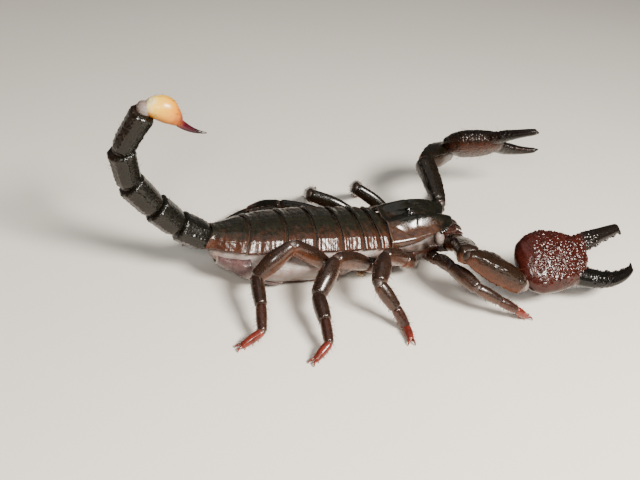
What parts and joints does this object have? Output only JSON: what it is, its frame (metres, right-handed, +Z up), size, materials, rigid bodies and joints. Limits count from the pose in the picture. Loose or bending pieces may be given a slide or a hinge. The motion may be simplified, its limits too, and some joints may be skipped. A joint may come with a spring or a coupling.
{
  "type": "emperor scorpion",
  "caption": "Life-size emperor scorpion standing on its feet with broad claws held forward and the tail raised in an arc over its back.",
  "frame": {"origin": "bottom centre of the whole animal, on the floor its feet stand on", "axes": "+X towards the head and claws, +Y to the animal's left, +Z up"},
  "size_m": [0.1356, 0.087, 0.0544],
  "materials": {
    "shell": "glossy dark shell plate",
    "limb": "glossy dark brown shell",
    "claw": "glossy red-brown, grained shell",
    "soft_skin": "satin, soft pleated skin",
    "bulb": "glossy pale orange shell",
    "sting": "glossy dark red point",
    "eye": "polished black"
  },
  "bodies": {
    "root": {"carapace": "shell", "tergite_1": "shell", "tergite_2": "shell", "tergite_3": "shell", "tergite_4": "shell", "tergite_5": "shell", "tergite_6": "shell", "tergite_7": "shell", "tail_1": "shell", "tail_2": "shell", "tail_3": "shell", "tail_4": "shell", "tail_5": "shell", "belly": "soft_skin", "pecten_right": "soft_skin", "pecten_left": "soft_skin", "coxosternum": "limb", "eye_median_right": "eye", "eyes_lateral_right": "eye", "chelicera_right": "limb", "palp_right_trochanter": "limb", "palp_right_femur": "limb", "palp_right_patella": "limb", "palp_right_hand": "claw", "palp_right_finger": "shell", "eye_median_left": "eye", "eyes_lateral_left": "eye", "chelicera_left": "limb", "palp_left_trochanter": "limb", "palp_left_femur": "limb", "palp_left_patella": "limb", "palp_left_hand": "claw", "palp_left_finger": "shell", "leg_1_right_upper": "limb", "leg_1_right_middle": "limb", "leg_1_right_foot": "claw", "leg_1_left_upper": "limb", "leg_1_left_middle": "limb", "leg_1_left_foot": "claw", "leg_2_right_upper": "limb", "leg_2_right_middle": "limb", "leg_2_right_foot": "claw", "leg_2_left_upper": "limb", "leg_2_left_middle": "limb", "leg_2_left_foot": "claw", "leg_3_right_upper": "limb", "leg_3_right_middle": "limb", "leg_3_right_foot": "claw", "leg_3_left_upper": "limb", "leg_3_left_middle": "limb", "leg_3_left_foot": "claw", "leg_4_right_upper": "limb", "leg_4_right_middle": "limb", "leg_4_right_foot": "claw", "leg_4_left_upper": "limb", "leg_4_left_middle": "limb", "leg_4_left_foot": "claw", "vesicle": "bulb", "aculeus": "sting"}
  },
  "joints": []
}
